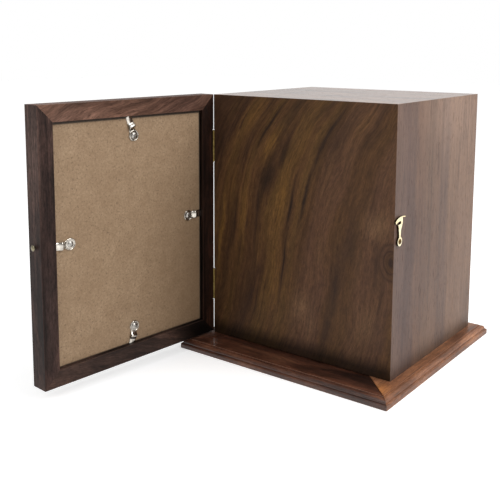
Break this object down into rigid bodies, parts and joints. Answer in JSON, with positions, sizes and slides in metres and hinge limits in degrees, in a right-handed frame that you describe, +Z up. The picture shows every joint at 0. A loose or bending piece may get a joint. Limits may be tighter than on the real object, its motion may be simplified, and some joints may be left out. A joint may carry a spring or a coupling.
{
  "type": "keepsake chest",
  "caption": "Rectangular hardwood keepsake chest on a moulded plinth, with a hinged picture-frame door, turn clips on the door's back and a swing hook.",
  "frame": {"origin": "centre of the plinth's underside", "axes": "+Z up; -Y is the front, where the frame door closes; +X is the latch side, -X the hinge side; rest pose has the door open 95.5 degrees"},
  "size_m": [0.3057, 0.4769, 0.307],
  "materials": {
    "chest_front_wood": "satin-lacquered dark brown hardwood with diagonal figure",
    "chest_side_wood": "satin-lacquered brown hardwood with straight upright grain",
    "chest_top_wood": "satin-lacquered brown hardwood",
    "plinth_wood": "satin-lacquered reddish brown hardwood moulding",
    "frame_wood": "satin-lacquered dark hardwood",
    "inner_board": "plain thin board",
    "hardboard": "tan hardboard, matt",
    "card": "blank off-white card, matt",
    "clear_glass": "clear picture glass",
    "nickel": "bright nickel plate",
    "bright_brass": "polished brass",
    "dull_brass": "dulled brass"
  },
  "bodies": {
    "chest": {"plinth_front": "plinth_wood", "plinth_right": "plinth_wood", "plinth_back": "plinth_wood", "plinth_left": "plinth_wood", "bottom_panel": "inner_board", "bottom_panel_screws": "dull_brass", "front_panel": "chest_front_wood", "right_panel": "chest_side_wood", "back_panel": "chest_front_wood", "left_panel": "chest_side_wood", "top_panel": "chest_top_wood", "upper_hinge_chest_leaf": "dull_brass", "upper_hinge_pin": "dull_brass", "lower_hinge_chest_leaf": "dull_brass", "lower_hinge_pin": "dull_brass", "chest_leaf_screws": "dull_brass", "latch_hook_screw": "dull_brass"},
    "door": {"door_top_rail": "frame_wood", "door_bottom_rail": "frame_wood", "door_hinge_stile": "frame_wood", "door_latch_stile": "frame_wood", "glass_pane": "clear_glass", "photo_card": "card", "backing_board": "hardboard", "clip_rivets": "nickel", "upper_hinge_door_leaf": "dull_brass", "lower_hinge_door_leaf": "dull_brass", "door_leaf_screws": "dull_brass", "latch_pin": "dull_brass"},
    "top_clip": {"top_clip": "nickel"},
    "bottom_clip": {"bottom_clip": "nickel"},
    "hinge_side_clip": {"hinge_side_clip": "nickel"},
    "latch_side_clip": {"latch_side_clip": "nickel"},
    "latch_hook": {"latch_hook": "bright_brass"}
  },
  "joints": [
    {"name": "door_swing", "type": "hinge", "parent": "chest", "child": "door", "pos_m": [-0.1211, -0.09565, 0.1595], "axis": [0, 0, -1], "range_deg": [-95.5, 84.5]},
    {"name": "top_clip_turn", "type": "hinge", "parent": "door", "child": "top_clip", "pos_m": [-0.13759, -0.21321, 0.267], "axis": [0.9954, -0.0958, 0], "continuous": true},
    {"name": "bottom_clip_turn", "type": "hinge", "parent": "door", "child": "bottom_clip", "pos_m": [-0.13793, -0.21669, 0.051], "axis": [0.9954, -0.0958, 0], "continuous": true},
    {"name": "hinge_side_clip_turn", "type": "hinge", "parent": "door", "child": "hinge_side_clip", "pos_m": [-0.12993, -0.13358, 0.165], "axis": [0.9954, -0.0958, 0], "continuous": true},
    {"name": "latch_side_clip_turn", "type": "hinge", "parent": "door", "child": "latch_side_clip", "pos_m": [-0.14584, -0.29881, 0.161], "axis": [0.9954, -0.0958, 0], "continuous": true},
    {"name": "latch_hook_swing", "type": "hinge", "parent": "chest", "child": "latch_hook", "pos_m": [0.1222, -0.0865, 0.163], "axis": [1, 0, 0], "range_deg": [-180, 90]}
  ]
}
